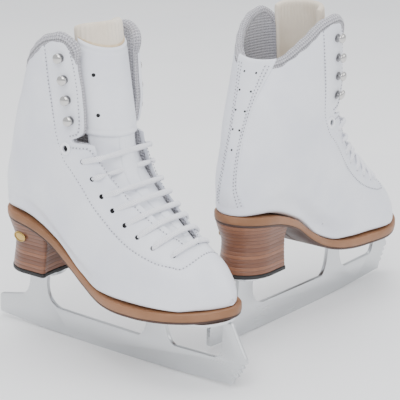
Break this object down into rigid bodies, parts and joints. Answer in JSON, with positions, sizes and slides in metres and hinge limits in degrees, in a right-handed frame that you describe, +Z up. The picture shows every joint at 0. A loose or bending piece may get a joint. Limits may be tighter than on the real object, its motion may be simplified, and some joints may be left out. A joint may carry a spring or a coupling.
{
  "type": "pair of figure skates",
  "caption": "Pair of laced leather figure skates with padded collars, swinging tongues, stacked heels and rockered steel blades with toe picks, standing at a right angle.",
  "frame": {"origin": "middle of the bounding box at floor level", "axes": "+Z up; the left skate points along +X and the right skate along -Y, so their blades are at a right angle"},
  "size_m": [0.402, 0.3014, 0.3003],
  "materials": {
    "white_leather": "smooth, slightly bluish white",
    "grey_knit": "padded melange knit",
    "fibre_board": "pressed fibre",
    "cream_lining": "soft padded cloth",
    "tan_sole": "edge-finished sole leather",
    "dark_sole": "thin dark outsole",
    "stacked_leather": "stacked layers, burnished",
    "black_rubber": "matte",
    "blade_steel": "satin sides, polished edges",
    "plate_steel": "plated",
    "lace_cotton": "woven cord",
    "gold_badge": "polished, plain",
    "nickel": "polished",
    "white_enamel": "glossy white"
  },
  "bodies": {
    "left_skate": {"left_quarter_outer": "white_leather", "left_quarter_inner": "white_leather", "left_backstay": "white_leather", "left_collar_lining": "grey_knit", "left_tongue_lower": "white_leather", "left_lace_keeper": "white_leather", "left_insole_board": "fibre_board", "left_footbed": "cream_lining", "left_midsole": "tan_sole", "left_outsole": "dark_sole", "left_heel_stack": "stacked_leather", "left_heel_lift": "black_rubber", "left_runner": "blade_steel", "left_sole_plate": "plate_steel", "left_heel_plate": "plate_steel", "left_lace": "lace_cotton", "left_heel_badge": "gold_badge", "left_hook_outer_1": "nickel", "left_hook_outer_2": "nickel", "left_hook_outer_3": "nickel", "left_hook_outer_4": "nickel", "left_ring_eyelet_outer": "white_enamel", "left_hook_inner_1": "nickel", "left_hook_inner_2": "nickel", "left_hook_inner_3": "nickel", "left_hook_inner_4": "nickel", "left_ring_eyelet_inner": "white_enamel", "left_heel_screw_1": "nickel", "left_heel_screw_2": "nickel"},
    "left_tongue": {"left_tongue_upper": "white_leather"},
    "right_skate": {"right_quarter_outer": "white_leather", "right_quarter_inner": "white_leather", "right_backstay": "white_leather", "right_collar_lining": "grey_knit", "right_tongue_lower": "white_leather", "right_lace_keeper": "white_leather", "right_insole_board": "fibre_board", "right_footbed": "cream_lining", "right_midsole": "tan_sole", "right_outsole": "dark_sole", "right_heel_stack": "stacked_leather", "right_heel_lift": "black_rubber", "right_runner": "blade_steel", "right_sole_plate": "plate_steel", "right_heel_plate": "plate_steel", "right_lace": "lace_cotton", "right_heel_badge": "gold_badge", "right_hook_outer_1": "nickel", "right_hook_outer_2": "nickel", "right_hook_outer_3": "nickel", "right_hook_outer_4": "nickel", "right_ring_eyelet_outer": "white_enamel", "right_hook_inner_1": "nickel", "right_hook_inner_2": "nickel", "right_hook_inner_3": "nickel", "right_hook_inner_4": "nickel", "right_ring_eyelet_inner": "white_enamel", "right_heel_screw_1": "nickel", "right_heel_screw_2": "nickel"},
    "right_tongue": {"right_tongue_upper": "white_leather"}
  },
  "joints": [
    {"name": "right_skate_slide", "type": "slide", "parent": "left_skate", "child": "right_skate", "axis": [-1, 0, 0], "range_m": [0, 0.3]},
    {"name": "left_tongue_tilt", "type": "hinge", "parent": "left_skate", "child": "left_tongue", "pos_m": [0.06903, -0.06575, 0.203], "axis": [0, 1, 0], "range_deg": [0, 45]},
    {"name": "right_tongue_tilt", "type": "hinge", "parent": "right_skate", "child": "right_tongue", "pos_m": [-0.15297, -0.01875, 0.203], "axis": [1, 0, 0], "range_deg": [0, 45]}
  ]
}
